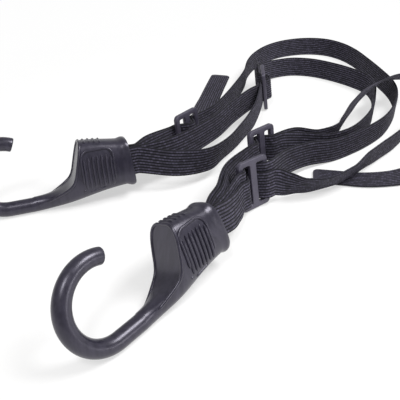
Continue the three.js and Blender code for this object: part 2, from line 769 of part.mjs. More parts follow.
function mainStretch(endA, endB, points) {
  const start = endA.mainWeave;
  const finish = endB.mainWeave;
  const first = start[start.length - 1];
  const lastStation = finish[finish.length - 1];
  return freeStretch(first, alongEnd(start), points, lastStation, alongEnd(finish).negate());
}

const innerTailA = tailStretch(innerA, INNER_TAIL_A_POINTS);
const innerEndA = chain([...innerTailA].reverse(), innerA.stations);
const half = FIT_GAP / 2;
const straps = [
  ["outer_strap_tail_a", tailStretch(outerA, OUTER_TAIL_A_POINTS), half, 0],
  ["outer_strap_end_a", outerA.stations, half, half],
  ["outer_strap_main", mainStretch(outerA, outerB, OUTER_MAIN_POINTS), half, half],
  ["outer_strap_end_b", outerB.stations, half, half],
  ["outer_strap_tail_b", tailStretch(outerB, OUTER_TAIL_B_POINTS), half, 0],
  ["inner_strap_end_a", innerEndA, 0, half],
  ["inner_strap_main", mainStretch(innerA, innerB, INNER_MAIN_POINTS), half, half],
  ["inner_strap_end_b", innerB.stations, half, half],
  ["inner_strap_tail_b", tailStretch(innerB, INNER_TAIL_B_POINTS), half, 0],
];
for (const [name, stations, trimStart, trimEnd] of straps) {
  part.add(named(name, ribbon(stations, trimStart, trimEnd), elastic));
}

export default part;
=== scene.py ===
# A flat-elastic bungee cord: two moulded hooks, two elastic straps and four three-bar sliders.
# Everything is in metres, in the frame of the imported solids.
import math

import bmesh
import bpy
from mathutils import Matrix, Vector


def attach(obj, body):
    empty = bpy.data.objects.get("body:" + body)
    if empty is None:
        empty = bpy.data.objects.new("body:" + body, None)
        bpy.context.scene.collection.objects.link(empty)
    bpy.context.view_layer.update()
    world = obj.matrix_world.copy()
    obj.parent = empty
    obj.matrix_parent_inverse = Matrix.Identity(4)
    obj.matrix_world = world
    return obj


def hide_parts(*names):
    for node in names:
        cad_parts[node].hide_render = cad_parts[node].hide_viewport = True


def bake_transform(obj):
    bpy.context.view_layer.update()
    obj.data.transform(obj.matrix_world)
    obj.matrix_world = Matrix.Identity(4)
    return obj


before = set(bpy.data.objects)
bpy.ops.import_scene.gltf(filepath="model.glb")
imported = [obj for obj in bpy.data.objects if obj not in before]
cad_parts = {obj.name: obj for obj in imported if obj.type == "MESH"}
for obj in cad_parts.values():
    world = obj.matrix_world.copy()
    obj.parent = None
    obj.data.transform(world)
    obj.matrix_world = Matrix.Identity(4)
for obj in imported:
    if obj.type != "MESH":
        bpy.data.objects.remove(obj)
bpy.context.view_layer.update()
scene = bpy.context.scene
scene.view_settings.view_transform = "Standard"

# Camera, at the photograph's angle
CAMERA_PLACE = (0.0559, -0.2065, 0.1742)
CAMERA_DOWNWARD = 34.2
CAMERA_LENS = 48.6
CAMERA_SENSOR = 36
camera_data = bpy.data.cameras.new("camera")
camera_data.lens = CAMERA_LENS
camera_data.sensor_width = CAMERA_SENSOR
camera = bpy.data.objects.new("camera", camera_data)
camera.location = CAMERA_PLACE
camera.rotation_euler = (math.radians(90 - CAMERA_DOWNWARD), 0, 0)
scene.collection.objects.link(camera)
scene.camera = camera

# Straps
STRAP_WIDTH = 0.016
STRAP_THICKNESS = 0.0014
FIT_GAP = 0.0003
STRAP_LEAD = 0.0028
RIBBON_STEP = 0.002
RIB_COUNT = 9
RIB_DEPTH = 0.0004
EDGE_ROLL = 0.0004
EDGE_SHOULDER_INSET_SHARE = 0.3
EDGE_SHOULDER_SHARE = 0.62
SEAL_LENGTH = 0.0035
SEAL_CORNER = 0.0034
SEAL_THICKNESS_SHARE = 0.62
SEAL_SECTIONS = (0.0032, 0.0026, 0.002, 0.0014, 0.0009, 0.0005, 0.0002, 0)
WRAP_STEPS = 8
PIN_TURN_STEPS = 16
MOUTH_STEPS = 8

# Hook
ROD_DIAMETER = 0.008
TIP_DIAMETER = 0.0074
RING_RADIUS = 0.0183
TIP_ANGLE = 66
TIP_ROUND = 0.0006
SHANK_START = 0.012
SHANK_FLAT_LENGTH = 0.015
SHANK_FLAT_RISE = 0.0003
PULL_LINE_DROP = 0.002
MOUTH_DISTANCE = 0.0685
MOUTH_SLANT = 0.0026
LIP_WALL = 0.0042
SIDE_WALL = 0.0019
FACE_RISE = 0.0133
FACE_DISTANCE = 0.0414
FACE_FOOT_DISTANCE = 0.0365
FACE_FOOT_RISE = -0.0044
FACE_CURL_BACK = 0.0022
FACE_CURL_DROP = 0.0074
SWELL_START = 0.014
SWELL_END = 0.037
COLLAR_LENGTH = 0.0055
COLLAR_STEP = 0.0008
COLLAR_PROFILE = ((0.0008, 0.12), (0.0018, 0.5), (0.0029, 0.9), (0.0038, 1), (0.0048, 0.8), (0.0055, 0.3))
COLLAR_SIDE_SHARE = 0.3
COLLAR_FOOT_SHARE = 1.6
ROD_SQUARENESS = 2
BODY_SQUARENESS = 3.2
SOCKET_DEPTH = 0.024
SOCKET_SIDE_CLEARANCE = 0.0006
PIN_DIAMETER = 0.003
PIN_SPACING = 0.007
MOUTH_LAYER_PITCH = 0.0022

# Grip on the hook's sides and crown
GRIP_RIB_COUNT = 7
GRIP_RIB_PITCH = 0.00245
GRIP_RIB_RADIUS = 0.0008
GRIP_RIB_PROUD = 0.0009
GRIP_CENTRE_DISTANCE = 0.0494
GRIP_TOP_RISE = 0.0093
GRIP_BOTTOM_DROP = 0.012
GRIP_ARCH_HALF_WIDTH = 0.0088
GRIP_ARCH_CORNER = 0.0045
GRIP_ARCH_FOOT_DROP = 0.0084
GRIP_ARCH_RADIUS = 0.0007
GRIP_RIB_INSET = 0.0034
CROWN_RIB_COUNT = 4
CROWN_RIB_PITCH = 0.0028
CROWN_RIB_START = 0.044
CROWN_RIB_LENGTH = 0.009
CROWN_RIB_PROUD = 0.0004
FACE_RIM_START = 0.019
FACE_RIM_RADIUS = 0.0008
FACE_RIM_SINK = 0.0003
BEAD_SIDES = 10
BEAD_END_SHARE = 0.45
HOOK_EDGE = 0.0004
EDGE_BEAD_START = 0.0435
EDGE_BEAD_END = 0.0525
EDGE_BEAD_RISE = 0.0034
EDGE_BEAD_RADIUS = 0.0006
GATE_MARK_DISTANCE = 0.0405
GATE_MARK_RISE = 0.0052
GATE_MARK_RADIUS = 0.0008

# Slider
SLIDER_RAIL = 0.003
SLIDER_THICKNESS = 0.0026
SLIDER_BAR_PITCH = 0.009
SLIDER_CENTRE_BAR = 0.0046
SLIDER_END_BAR = 0.0032
SLIDER_SLOT_PLAY = 0.007
SLIDER_CORNER = 0.0036
SLIDER_CORNER_RAIL_SHARE = 0.96
SLOT_CORNER = 0.0009
SLIDER_EDGE = 0.00045
BAR_WRAP_SHARE = 0.82

# Angles in degrees between faces: what is flatter is shaded smooth
STRAP_SMOOTH_ANGLE = 60
PLASTIC_SMOOTH_ANGLE = 40

# Where the pieces lie: place on the table, heading and lean in degrees
HOOK_A_PLACE = dict(x=-0.04889, y=0.03908, heading=19.6, lean=12.8, gather=0)
HOOK_B_PLACE = dict(x=0.01724, y=-0.05224, heading=51.1, lean=25, gather=0.001)
SLIDER_1_PLACE = dict(x=0.0483, y=0.1045, heading=52, lean=8, over_side=-1)
SLIDER_2_PLACE = dict(x=0.1044, y=0.18, heading=88, lean=8, over_side=-1)
SLIDER_3_PLACE = dict(x=0.0934, y=0.082, heading=42, lean=10, over_side=1)
SLIDER_4_PLACE = dict(x=0.0853, y=0.0445, heading=39, lean=12, over_side=1)

# Free stretches of strap, listed away from hook A, or from hook B on its side.
# Each point is x, y, z and the lean of the strap's width to the left of the way it runs.
OUTER_TAIL_A_POINTS = (
    (0.0559, 0.1265, 0.0125, 22),
    (0.0569, 0.1425, 0.0080, 52),
    (0.0589, 0.1625, 0.0036, 78),
    (0.0639, 0.1925, 0.0011, 90),
    (0.0689, 0.2165, 0.0011, 90),
    (0.0739, 0.2395, 0.0011, 90),
)
OUTER_PAIR_A_TAIL_POINTS = (
    (0.0249, 0.0775, 0.0185, 12),
)
OUTER_PAIR_A_MAIN_POINTS = (
    (0.0274, 0.0755, 0.0185, 12),
)
INNER_PAIR_A_TAIL_POINTS = (
    (0.0409, 0.0765, 0.0186, 12),
    (0.0649, 0.1065, 0.0175, 8),
    (0.0789, 0.1335, 0.0166, 6),
    (0.0919, 0.1565, 0.0154, 6),
)
INNER_PAIR_A_MAIN_POINTS = (
    (0.0429, 0.0625, 0.0170, 8),
    (0.0609, 0.0705, 0.0150, -4),
    (0.0719, 0.0875, 0.0135, -12),
    (0.0829, 0.1095, 0.0130, -6),
    (0.0939, 0.1365, 0.0134, 2),
)
INNER_TAIL_A_POINTS = (
    (0.1004, 0.2075, 0.0150, 8),
    (0.1034, 0.2175, 0.0145, 8),
)
OUTER_MAIN_POINTS = (
    (0.0659, 0.1345, 0.0130, 6),
    (0.0809, 0.1765, 0.0100, 2),
    (0.0919, 0.2135, 0.0084, 0),
    (0.0959, 0.2345, 0.0084, 0),
    (0.1029, 0.2535, 0.0084, 0),
    (0.1159, 0.2735, 0.0084, 0),
    (0.1329, 0.2875, 0.0084, 0),
    (0.1549, 0.2945, 0.0084, 0),
    (0.1729, 0.2915, 0.0084, 0),
    (0.1849, 0.2805, 0.0084, 0),
    (0.1929, 0.2635, 0.0084, 0),
    (0.1989, 0.2365, 0.0084, 0),
    (0.2029, 0.2125, 0.0084, 0),
    (0.2049, 0.1945, 0.0084, 0),
    (0.2039, 0.1775, 0.0084, 0),
    (0.1989, 0.1595, 0.0084, 0),
    (0.1919, 0.1445, 0.0084, 0),
    (0.1819, 0.1285, 0.0084, 0),
    (0.1709, 0.1165, 0.0084, 0),
    (0.1569, 0.1045, 0.0084, 0),
    (0.1409, 0.0940, 0.0084, -2),
    (0.1229, 0.0845, 0.0108, -5),
    (0.1079, 0.0710, 0.0134, -9),
)
INNER_MAIN_POINTS = (
    (0.1039, 0.2095, 0.0134, 8),
    (0.1109, 0.2245, 0.0106, 4),
    (0.1209, 0.2355, 0.0088, 0),
    (0.1349, 0.2410, 0.0084, 0),
    (0.1509, 0.2385, 0.0084, 0),
    (0.1669, 0.2285, 0.0084, 0),
    (0.1809, 0.2145, 0.0084, 0),
    (0.1889, 0.2015, 0.0084, 0),
    (0.1899, 0.1865, 0.0084, 0),
    (0.1859, 0.1695, 0.0084, 0),
    (0.1779, 0.1455, 0.0084, 0),
    (0.1669, 0.1255, 0.0084, 0),
    (0.1539, 0.1100, 0.0084, 0),
    (0.1389, 0.1010, 0.0086, -2),
    (0.1199, 0.0975, 0.0106, -6),
)
INNER_TAIL_B_POINTS = (
    (0.1169, 0.1009, 0.0124, 6),
    (0.1319, 0.1025, 0.0106, 0),
    (0.1449, 0.1105, 0.0130, -15),
    (0.1569, 0.1305, 0.0180, -32),
    (0.1689, 0.1485, 0.0214, -42),
    (0.1809, 0.1625, 0.0232, -50),
    (0.1969, 0.1765, 0.0234, -52),
    (0.2089, 0.1835, 0.0220, -55),
    (0.2209, 0.1885, 0.0190, -60),
)
INNER_PAIR_B_TAIL_POINTS = (
    (0.0633, 0.0151, 0.0182, 23),
    (0.0673, 0.0261, 0.0180, 20),
    (0.0691, 0.0405, 0.0165, 14),
    (0.0729, 0.0535, 0.0154, 11),
)
INNER_PAIR_B_MAIN_POINTS = (
    (0.0657, 0.0141, 0.0182, 23),
    (0.0699, 0.0253, 0.0180, 20),
    (0.0717, 0.0393, 0.0165, 14),
    (0.0755, 0.0511, 0.0154, 11),
)
OUTER_PAIR_B_MAIN_POINTS = (
    (0.0683, 0.0129, 0.0178, 23),
    (0.0729, 0.0249, 0.0170, 16),
)
OUTER_PAIR_B_TAIL_POINTS = (
    (0.0709, 0.0119, 0.0170, 23),
    (0.0757, 0.0231, 0.0146, 16),
)
OUTER_TAIL_B_POINTS = (
    (0.1039, 0.0503, 0.0106, -4),
    (0.1149, 0.0521, 0.0082, -28),
    (0.1279, 0.0562, 0.0074, -34),
    (0.1429, 0.0643, 0.0088, -27),
    (0.1559, 0.0771, 0.0102, -16),
    (0.1699, 0.0925, 0.0089, -12),
    (0.1849, 0.1085, 0.0086, -10),
    (0.1959, 0.1235, 0.0086, -8),
    (0.2029, 0.1355, 0.0086, -4),
    (0.2119, 0.1425, 0.0086, 0),
    (0.2209, 0.1405, 0.0086, 0),
    (0.2249, 0.1295, 0.0086, 0),
    (0.2219, 0.1145, 0.0088, -6),
    (0.2129, 0.0995, 0.0080, -34),
    (0.2019, 0.0875, 0.0050, -66),
    (0.1899, 0.0785, 0.0017, -88),
    (0.1769, 0.0730, 0.0011, -90),
    (0.1649, 0.0705, 0.0011, -90),
    (0.1529, 0.0700, 0.0011, -90),
    (0.1409, 0.0720, 0.0011, -90),
    (0.1249, 0.0745, 0.0011, -90),
)

# Sizes that follow from the ones above
rod_radius = ROD_DIAMETER / 2
loop_radius = PIN_DIAMETER / 2 + FIT_GAP + STRAP_THICKNESS / 2
socket_half_width = PIN_SPACING / 2 + loop_radius + STRAP_THICKNESS / 2 + FIT_GAP
socket_half_height = STRAP_WIDTH / 2 + SOCKET_SIDE_CLEARANCE
body_half_width = socket_half_width + SIDE_WALL
mouth_top = socket_half_height + LIP_WALL - PULL_LINE_DROP
mouth_bottom = -socket_half_height - LIP_WALL - PULL_LINE_DROP
ring_bottom = -RING_RADIUS - rod_radius
socket_floor = MOUTH_DISTANCE - SOCKET_DEPTH
pin_distance = socket_floor + loop_radius + STRAP_THICKNESS / 2 + FIT_GAP
slot_length = STRAP_WIDTH + SLIDER_SLOT_PLAY
slider_height = slot_length + 2 * SLIDER_RAIL
layer_pitch = STRAP_THICKNESS + FIT_GAP


def mix(low, high, share):
    return low + (high - low) * share


def ease(value, low, high):
    share = min(max((value - low) / (high - low), 0), 1)
    return share * share * (3 - 2 * share)


def leaning_frame(place, height):
    turn = Matrix.Rotation(math.radians(place["heading"]), 4, "Z")
    lean = Matrix.Rotation(-math.radians(place["lean"]), 4, "X")
    return Matrix.Translation((place["x"], place["y"], height)) @ turn @ lean


def hook_frame(place):
    return leaning_frame(place, rod_radius + RING_RADIUS * math.cos(math.radians(place["lean"])))


def slider_frame(place):
    lean = math.radians(place["lean"])
    height = slider_height / 2 * math.cos(lean) + SLIDER_THICKNESS / 2 * math.sin(lean) + FIT_GAP
    return leaning_frame(place, height)


# Materials
def new_material(name):
    material = bpy.data.materials.new(name)
    material.use_nodes = True
    nodes = material.node_tree.nodes
    return material, nodes, material.node_tree.links, nodes["Principled BSDF"]


def add_node(nodes, kind, **inputs):
    """A new node with values on its sockets. A socket's name has _ for each space."""
    node = nodes.new(kind)
    for socket, value in inputs.items():
        node.inputs[socket.replace("_", " ")].default_value = value
    return node


def colour_ramp(nodes, low, high, low_colour, high_colour):
    ramp = nodes.new("ShaderNodeValToRGB")
    ramp.color_ramp.elements[0].position = low
    ramp.color_ramp.elements[1].position = high
    ramp.color_ramp.elements[0].color = (*low_colour, 1)
    ramp.color_ramp.elements[1].color = (*high_colour, 1)
    return ramp


def moulded_plastic(name, flow, dark, pale, rough_low, rough_high, grain):
    """Black plastic. flow is how fine the clouds and streaks of its flow are along each axis."""
    material, nodes, links, shader = new_material(name)
    place = nodes.new("ShaderNodeTexCoord")
    drawn_out = add_node(nodes, "ShaderNodeMapping", Scale=flow)
    cloud = add_node(nodes, "ShaderNodeTexNoise", Scale=1.0, Detail=5.0, Roughness=0.6)
    speck = add_node(nodes, "ShaderNodeTexNoise", Scale=grain, Detail=3.0, Roughness=0.55)
    links.new(place.outputs["Object"], drawn_out.inputs["Vector"])
    links.new(drawn_out.outputs["Vector"], cloud.inputs["Vector"])
    links.new(place.outputs["Object"], speck.inputs["Vector"])
    tone = colour_ramp(nodes, 0.36, 0.64, dark, pale)
    links.new(cloud.outputs["Fac"], tone.inputs["Fac"])
    links.new(tone.outputs["Color"], shader.inputs["Base Color"])
    gloss = add_node(
        nodes, "ShaderNodeMapRange", From_Min=0.3, From_Max=0.7, To_Min=rough_low, To_Max=rough_high,
    )
    links.new(cloud.outputs["Fac"], gloss.inputs["Value"])
    links.new(gloss.outputs["Result"], shader.inputs["Roughness"])
    bump = add_node(nodes, "ShaderNodeBump", Strength=0.12, Distance=0.0002)
    links.new(speck.outputs["Fac"], bump.inputs["Height"])
    links.new(bump.outputs["Normal"], shader.inputs["Normal"])
    shader.inputs["Specular IOR Level"].default_value = 0.7
    shader.inputs["Specular Tint"].default_value = (0.9, 0.87, 1.0, 1)
    return material


def woven_elastic():
    material, nodes, links, shader = new_material("woven_elastic")
    weave_map = nodes.new("ShaderNodeUVMap")
    weave_map.uv_map = "weave"
    # Stripes across the strap, one to each cord: painted shade makes the grooves between the cords darker,
    # and the cords' crowns lighter
    groove_shade_stripes = add_node(nodes, "ShaderNodeTexWave", Scale=RIB_COUNT * math.pi / 10, Distortion=0.25, Detail=2.0)
    groove_shade_stripes.bands_direction = "Y"
    links.new(weave_map.outputs["UV"], groove_shade_stripes.inputs["Vector"])
    groove_shade_tone = colour_ramp(nodes, 0.2, 0.85, (0.007, 0.0064, 0.0115), (0.05, 0.0455, 0.07))
    links.new(groove_shade_stripes.outputs["Fac"], groove_shade_tone.inputs["Fac"])
    picks = add_node(
        nodes, "ShaderNodeTexBrick", Scale=1.0, Brick_Width=0.11, Row_Height=1 / RIB_COUNT,
        Mortar_Size=0.016, Mortar_Smooth=0.8,
        Color1=(1.6, 1.6, 1.6, 1), Color2=(0.6, 0.6, 0.6, 1), Mortar=(0.5, 0.5, 0.5, 1),
    )
    picks.offset = 0.5
    links.new(weave_map.outputs["UV"], picks.inputs["Vector"])
    tinted = nodes.new("ShaderNodeMix")
    tinted.data_type = "RGBA"
    tinted.blend_type = "MULTIPLY"
    tinted.inputs["Factor"].default_value = 1.0
    links.new(groove_shade_tone.outputs["Color"], tinted.inputs["A"])
    links.new(picks.outputs["Color"], tinted.inputs["B"])
    sealed = nodes.new("ShaderNodeAttribute")
    sealed.attribute_name = "sealed"
    melted = nodes.new("ShaderNodeMix")
    melted.data_type = "RGBA"
    melted.inputs["B"].default_value = (0.042, 0.039, 0.054, 1)
    links.new(sealed.outputs["Fac"], melted.inputs["Factor"])
    links.new(tinted.outputs["Result"], melted.inputs["A"])
    links.new(melted.outputs["Result"], shader.inputs["Base Color"])
    dull = add_node(nodes, "ShaderNodeMapRange", To_Min=0.8, To_Max=0.48)
    links.new(sealed.outputs["Fac"], dull.inputs["Value"])
    links.new(dull.outputs["Result"], shader.inputs["Roughness"])
    fuzz = add_node(nodes, "ShaderNodeTexNoise", Scale=26.0, Detail=6.0, Roughness=0.7)
    links.new(weave_map.outputs["UV"], fuzz.inputs["Vector"])
    relief = nodes.new("ShaderNodeMath")
    relief.operation = "SUBTRACT"
    links.new(fuzz.outputs["Fac"], relief.inputs[0])
    links.new(picks.outputs["Fac"], relief.inputs[1])
    bump = add_node(nodes, "ShaderNodeBump", Strength=0.4, Distance=0.0002)
    links.new(relief.outputs["Value"], bump.inputs["Height"])
    links.new(bump.outputs["Normal"], shader.inputs["Normal"])
    shader.inputs["Specular IOR Level"].default_value = 0.3
    shader.inputs["Sheen Weight"].default_value = 0.06
    shader.inputs["Sheen Roughness"].default_value = 0.4
    return material


def drawn_steel():
    material, nodes, links, shader = new_material("drawn_steel")
    place = nodes.new("ShaderNodeTexCoord")
    stretch = add_node(nodes, "ShaderNodeMapping", Scale=(4000, 4000, 200))
    streaks = add_node(nodes, "ShaderNodeTexNoise", Scale=1.0, Detail=4.0)
    links.new(place.outputs["Object"], stretch.inputs["Vector"])
    links.new(stretch.outputs["Vector"], streaks.inputs["Vector"])
    tone = colour_ramp(nodes, 0.3, 0.7, (0.42, 0.43, 0.45), (0.6, 0.61, 0.63))
    links.new(streaks.outputs["Fac"], tone.inputs["Fac"])
    links.new(tone.outputs["Color"], shader.inputs["Base Color"])
    gloss = add_node(nodes, "ShaderNodeMapRange", To_Min=0.25, To_Max=0.45)
    links.new(streaks.outputs["Fac"], gloss.inputs["Value"])
    links.new(gloss.outputs["Result"], shader.inputs["Roughness"])
    bump = add_node(nodes, "ShaderNodeBump", Strength=0.1, Distance=0.0001)
    links.new(streaks.outputs["Fac"], bump.inputs["Height"])
    links.new(bump.outputs["Normal"], shader.inputs["Normal"])
    shader.inputs["Metallic"].default_value = 1.0
    return material


hook_black = moulded_plastic(
    "hook_black", flow=(420, 420, 20), dark=(0.011, 0.0099, 0.019), pale=(0.025, 0.0225, 0.037),
    rough_low=0.28, rough_high=0.34, grain=2600.0,
)
slider_black = moulded_plastic(
    "slider_black", flow=(140, 140, 140), dark=(0.04, 0.036, 0.056), pale=(0.054, 0.049, 0.072),
    rough_low=0.34, rough_high=0.46, grain=3200.0,
)
strap_black = woven_elastic()
pin_steel = drawn_steel()


# Shared mesh work
def set_order(parts, place):
    for i, part in enumerate(sorted(parts, key=place)):
        part.index = i
    parts.sort()


def new_piece(name, mesh, material, smooth_angle):
    """A piece from a finished mesh. The operators' order differs from run to run, so it is set by place."""
    set_order(mesh.verts, lambda corner: corner.co.to_tuple())
    set_order(mesh.edges, lambda edge: sorted(v.index for v in edge.verts))
    set_order(mesh.faces, lambda face: sorted(v.index for v in face.verts))
    data = bpy.data.meshes.new(name)
    mesh.to_mesh(data)
    mesh.free()
    data.materials.append(material)
    data.shade_smooth()
    data.set_sharp_from_angle(angle=math.radians(smooth_angle))
    piece = bpy.data.objects.new(name, data)
    scene.collection.objects.link(piece)
    return piece


def start_loop(mesh, points):
    corners = [mesh.verts.new(p) for p in points]
    for a, b in zip(corners, corners[1:] + corners[:1]):
        mesh.edges.new((a, b))
    return corners


def grow_loop(mesh, loop, points):
    """Extrudes a closed loop of corners and sets the new loop on the given points."""
    edges = [mesh.edges.get((a, b)) for a, b in zip(loop, loop[1:] + loop[:1])]
    grown = bmesh.ops.extrude_edge_only(mesh, edges=edges)["geom"]
    fresh = {v.co.to_tuple(): v for v in grown if isinstance(v, bmesh.types.BMVert)}
    following = [fresh[v.co.to_tuple()] for v in loop]
    for corner, place in zip(following, points):
        corner.co = place
    return following


def skin(mesh, loops):
    """A closed skin over loops of equal count. Returns the corners of each loop."""
    rows = [start_loop(mesh, loops[0])]
    for points in loops[1:]:
        rows.append(grow_loop(mesh, rows[-1], points))
    mesh.faces.new(rows[0])
    mesh.faces.new(rows[-1])
    return rows


# Straps: a strap is a list of stations, each a middle and the direction of the strap's width
def station(matrix, x, y, z):
    return matrix @ Vector((x, y, z)), matrix.to_3x3() @ Vector((0, 0, 1))


def weave(slider, layer):
    """The way through a slider: past one end bar, round the centre bar, past the other end bar."""
    side = slider["over_side"]
    off = layer * side * layer_pitch / 2
    bar_half = SLIDER_THICKNESS / 2
    two_layers = STRAP_THICKNESS + 1.5 * FIT_GAP
    end_radius = bar_half + BAR_WRAP_SHARE * max(SLIDER_END_BAR / 2 - bar_half, 0) + two_layers
    centre_radius = bar_half + BAR_WRAP_SHARE * max(SLIDER_CENTRE_BAR / 2 - bar_half, 0) + two_layers
    tilt = math.asin((end_radius + centre_radius) / SLIDER_BAR_PITCH)
    quarter = math.pi / 2
    arcs = (
        (-SLIDER_BAR_PITCH, end_radius - off, -quarter, -quarter + tilt),
        (0, centre_radius + off, quarter + tilt, quarter - tilt),
        (SLIDER_BAR_PITCH, end_radius - off, -quarter - tilt, -quarter),
    )
    stations = []
    for middle, radius, first, last in arcs:
        for k in range(WRAP_STEPS + 1):
            turn = mix(first, last, k / WRAP_STEPS)
            x = middle + math.cos(turn) * radius
            y = side * math.sin(turn) * radius
            stations.append(station(slider["frame"], x, y, slider["shift"][layer]))
    return stations


def pin_loop(hook, pin_side, start_side):
    """In through the mouth on one side of a pin, round it and out on the other side."""
    middle = pin_side * PIN_SPACING / 2
    outside = MOUTH_DISTANCE + MOUTH_SLANT / 2
    stations = []

    def put(x, y):
        stations.append(station(hook["frame"], x, y, -PULL_LINE_DROP))

    def at_mouth(side):
        return hook["gather"] + (pin_side + side / 2) * MOUTH_LAYER_PITCH

    for k in range(MOUTH_STEPS):
        share = k / MOUTH_STEPS
        y = mix(at_mouth(start_side), middle + start_side * loop_radius, share)
        put(mix(outside, pin_distance, share), y)
    for k in range(PIN_TURN_STEPS + 1):
        turn = math.pi / 2 + math.pi * k / PIN_TURN_STEPS
        put(pin_distance + math.cos(turn) * loop_radius, middle + start_side * math.sin(turn) * loop_radius)
    for k in range(1, MOUTH_STEPS + 1):
        share = k / MOUTH_STEPS
        y = mix(middle - start_side * loop_radius, at_mouth(-start_side), share)
        put(mix(pin_distance, outside, share), y)
    return stations


def along_start(stations):
    return (stations[1][0] - stations[0][0]).normalized()


def along_end(stations):
    return (stations[-1][0] - stations[-2][0]).normalized()


def on_curve(points, where):
    """A point on the smooth curve through the points, at a place counted in points."""
    at = min(int(where), len(points) - 2)
    share = where - at
    p1, p2 = points[at], points[at + 1]
    p0 = points[at - 1] if at else p1 * 2 - p2
    p3 = points[at + 2] if at + 2 < len(points) else p2 * 2 - p1
    d0 = math.sqrt((p1 - p0).length)
    d1 = math.sqrt((p2 - p1).length)
    d2 = math.sqrt((p3 - p2).length)
    leave = ((p1 - p0) / d0 - (p2 - p0) / (d0 + d1) + (p2 - p1) / d1) * d1
    arrive = ((p2 - p1) / d1 - (p3 - p1) / (d1 + d2) + (p3 - p2) / d2) * d1
    square = (p2 - p1) * 3 - leave * 2 - arrive
    cube = (p1 - p2) * 2 + leave + arrive
    return p1 + leave * share + square * share**2 + cube * share**3


def free_stretch(start, start_along, points, finish=None, finish_along=None):
    """Stations along a smooth curve that leaves one station, passes the points and may end at another."""
    middles = [start[0], start[0] + start_along * STRAP_LEAD]
    widths = [start[1], start[1]]
    for x, y, z, lean in points:
        middles.append(Vector((x, y, z)))
        widths.append(math.radians(lean))
    if finish:
        middles += [finish[0] - finish_along * STRAP_LEAD, finish[0]]
        widths += [finish[1], finish[1]]
    last = len(middles) - 1
    nudge = 0.01
    for i, lean in enumerate(widths):
        if isinstance(lean, float):
            way = on_curve(middles, min(i + nudge, last)) - on_curve(middles, i - nudge)
            left = Vector((-way.y, way.x, 0)).normalized()
            widths[i] = Vector((0, 0, math.cos(lean))) + left * math.sin(lean)
    stations = []
    for i in range(last):
        steps = max(1, round((middles[i + 1] - middles[i]).length / RIBBON_STEP))
        for k in range(steps):
            share = k / steps
            width = widths[i].lerp(widths[i + 1], ease(share, 0, 1)).normalized()
            stations.append((on_curve(middles, i + share), width))
    stations.append((middles[last], widths[last]))
    return stations


def chain(*stretches):
    """Joins stretches end to end and drops a station that repeats the one before it."""
    joined = []
    for stretch in stretches:
        for middle, width in stretch:
            if not joined or (joined[-1][0] - middle).length > FIT_GAP / 3:
                joined.append((middle, width))
    return joined


def squared(stations):
    """Adds the way the strap runs, and turns each width square to it."""
    sections = []
    last = len(stations) - 1
    for i, (middle, width) in enumerate(stations):
        way = (stations[min(i + 1, last)][0] - stations[max(i - 1, 0)][0]).normalized()
        across = (width - way * width.dot(way)).normalized()
        sections.append((middle, across, way.cross(across)))
    return sections


def run_length(sections):
    return sum((b[0] - a[0]).length for a, b in zip(sections, sections[1:]))


def cut_after(sections, length):
    """Cuts a strap where it has run the given length. Both pieces keep the section at the cut."""
    run = 0
    for i in range(1, len(sections)):
        run += (sections[i][0] - sections[i - 1][0]).length
        if run >= length:
            return sections[: i + 1], sections[i:]
    raise ValueError("the strap is shorter than the cut")


def cut_farthest(sections):
    """Cuts a strap where it lies farthest to the right."""
    far = max(range(len(sections)), key=lambda i: sections[i][0].x)
    return sections[: far + 1], sections[far:]


def sealed_end(sections):
    """Closer sections over the melted end of a tail."""
    kept = list(sections)
    back = 0
    while back < SEAL_LENGTH:
        back += (kept[-1][0] - kept[-2][0]).length
        kept.pop()
    end = sections[-1]
    base = kept[-1]
    span = (end[0] - base[0]).length
    for left in SEAL_SECTIONS:
        share = 1 - left / span
        middle, across, face = (b.lerp(e, share) for b, e in zip(base, end))
        kept.append((middle, across.normalized(), face.normalized()))
    return kept


def strap_outline(half_width, half_thickness, relief):
    """Corners round the strap's section: ribs on both faces and a rolled edge on each side."""
    steps = 4 * RIB_COUNT
    flat = half_width - EDGE_ROLL
    top = []
    for k in range(steps + 1):
        depth = RIB_DEPTH * relief * (0.5 + 0.5 * math.cos(math.pi * k / 2)) ** 2
        top.append((mix(-flat, flat, k / steps), half_thickness - depth))
    shoulder = half_width - EDGE_ROLL * EDGE_SHOULDER_INSET_SHARE
    shoulder_height = half_thickness * EDGE_SHOULDER_SHARE
    edge = [(shoulder, shoulder_height), (half_width, 0), (shoulder, -shoulder_height)]
    bottom = [(a, -f) for a, f in reversed(top)]
    return top + edge + bottom + [(-a, -f) for a, f in edge]


